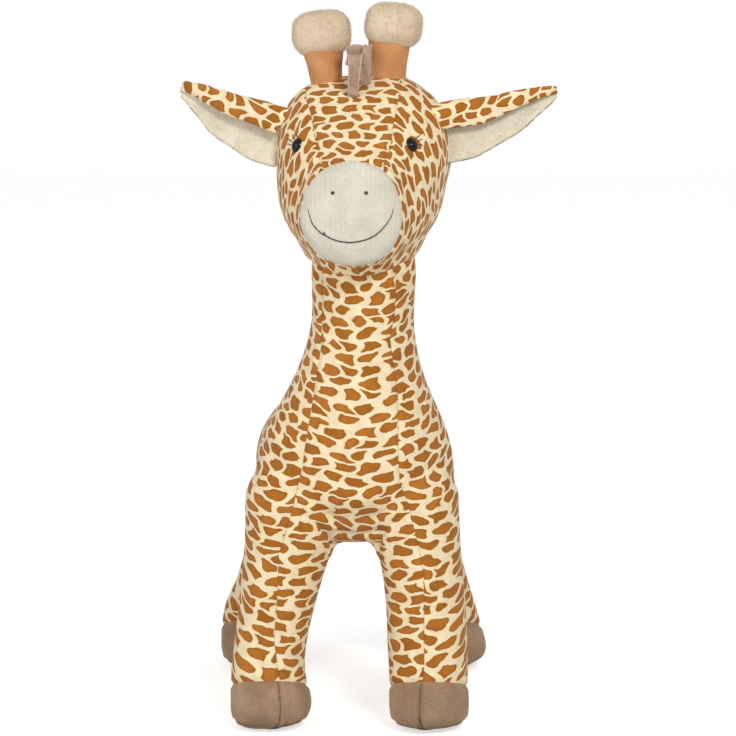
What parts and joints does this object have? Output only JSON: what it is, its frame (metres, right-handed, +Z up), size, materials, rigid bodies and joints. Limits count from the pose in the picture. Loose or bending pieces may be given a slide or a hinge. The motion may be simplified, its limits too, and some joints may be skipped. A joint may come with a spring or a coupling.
{
  "type": "plush giraffe",
  "caption": "Standing stuffed giraffe of printed plush, with ears, horns, legs and tail that flex at their seams.",
  "frame": {"origin": "on the floor, in the middle of what the toy takes up seen from above", "axes": "the giraffe faces -Y, +Z is up, and +X is at its own left side"},
  "size_m": [0.3434, 0.336, 0.653],
  "materials": {
    "plush_print": "short velour pile, brown patches printed on cream",
    "muzzle_fabric": "short off-white pile",
    "cream_plush": "fluffy cream pile",
    "horn_suede": "tan suede cloth",
    "hoof_velour": "brown velour",
    "ribbon": "velvet ribbon",
    "eye_plastic": "polished black",
    "washer_plastic": "matt white",
    "thread": "embroidery thread",
    "filling": "loose polyester fibre"
  },
  "bodies": {
    "torso": {"trunk_cover": "plush_print", "trunk_filling": "filling", "neck_cover": "plush_print", "neck_filling": "filling", "neck_mane": "ribbon"},
    "head": {"head_cover": "plush_print", "head_filling": "filling", "muzzle_patch": "muzzle_fabric", "mouth_stitch": "thread", "nostril_left": "thread", "nostril_right": "thread", "eye_left": "eye_plastic", "eye_right": "eye_plastic", "eye_washer_left": "washer_plastic", "eye_washer_right": "washer_plastic", "eyelashes_left": "thread", "eyelashes_right": "thread", "forelock": "ribbon", "crown_mane": "ribbon"},
    "ear_left": {"ear_outer_left": "plush_print", "ear_lining_left": "cream_plush"},
    "horn_left": {"horn_stem_left": "horn_suede", "horn_knob_left": "cream_plush"},
    "ear_right": {"ear_outer_right": "plush_print", "ear_lining_right": "cream_plush"},
    "horn_right": {"horn_stem_right": "horn_suede", "horn_knob_right": "cream_plush"},
    "front_left_leg": {"front_left_leg_cover": "plush_print", "front_left_leg_filling": "filling", "front_left_hoof": "hoof_velour"},
    "front_right_leg": {"front_right_leg_cover": "plush_print", "front_right_leg_filling": "filling", "front_right_hoof": "hoof_velour"},
    "rear_left_leg": {"rear_left_leg_cover": "plush_print", "rear_left_leg_filling": "filling", "rear_left_hoof": "hoof_velour"},
    "rear_right_leg": {"rear_right_leg_cover": "plush_print", "rear_right_leg_filling": "filling", "rear_right_hoof": "hoof_velour"},
    "tail": {"tail_cover": "plush_print", "tail_tuft": "ribbon"}
  },
  "joints": [
    {"name": "head_nod", "type": "hinge", "parent": "torso", "child": "head", "pos_m": [-0.00264, -0.06478, 0.405], "axis": [1, 0, 0], "range_deg": [-12, 12], "stiffness_Nm_per_rad": 3},
    {"name": "ear_left_flex", "type": "hinge", "parent": "head", "child": "ear_left", "pos_m": [0.07248, -0.06598, 0.535], "axis": [-0.0842, 0.0081, 0.9964], "range_deg": [-15, 25], "stiffness_Nm_per_rad": 0.08},
    {"name": "ear_right_flex", "type": "hinge", "parent": "head", "child": "ear_right", "pos_m": [-0.07659, -0.05163, 0.535], "axis": [0.0811, -0.0078, 0.9967], "range_deg": [-25, 15], "stiffness_Nm_per_rad": 0.08},
    {"name": "horn_left_flex", "type": "hinge", "parent": "head", "child": "horn_left", "pos_m": [0.02321, -0.05722, 0.573], "axis": [0.9954, -0.0958, 0], "range_deg": [-12, 6], "stiffness_Nm_per_rad": 0.2},
    {"name": "horn_right_flex", "type": "hinge", "parent": "head", "child": "horn_right", "pos_m": [-0.03054, -0.05205, 0.573], "axis": [0.9954, -0.0958, 0], "range_deg": [-12, 6], "stiffness_Nm_per_rad": 0.2},
    {"name": "front_left_leg_swing", "type": "hinge", "parent": "torso", "child": "front_left_leg", "pos_m": [0.03936, -0.08478, 0.193], "axis": [1, 0, 0], "range_deg": [-10, 10], "stiffness_Nm_per_rad": 10},
    {"name": "front_right_leg_swing", "type": "hinge", "parent": "torso", "child": "front_right_leg", "pos_m": [-0.06064, -0.08478, 0.193], "axis": [1, 0, 0], "range_deg": [-10, 10], "stiffness_Nm_per_rad": 10},
    {"name": "rear_left_leg_swing", "type": "hinge", "parent": "torso", "child": "rear_left_leg", "pos_m": [0.03936, 0.06922, 0.193], "axis": [1, 0, 0], "range_deg": [-10, 10], "stiffness_Nm_per_rad": 10},
    {"name": "rear_right_leg_swing", "type": "hinge", "parent": "torso", "child": "rear_right_leg", "pos_m": [-0.06064, 0.06922, 0.193], "axis": [1, 0, 0], "range_deg": [-10, 10], "stiffness_Nm_per_rad": 10},
    {"name": "tail_swing", "type": "hinge", "parent": "torso", "child": "tail", "pos_m": [-0.01064, 0.1329, 0.25348], "axis": [1, 0, 0], "range_deg": [0, 60]}
  ]
}
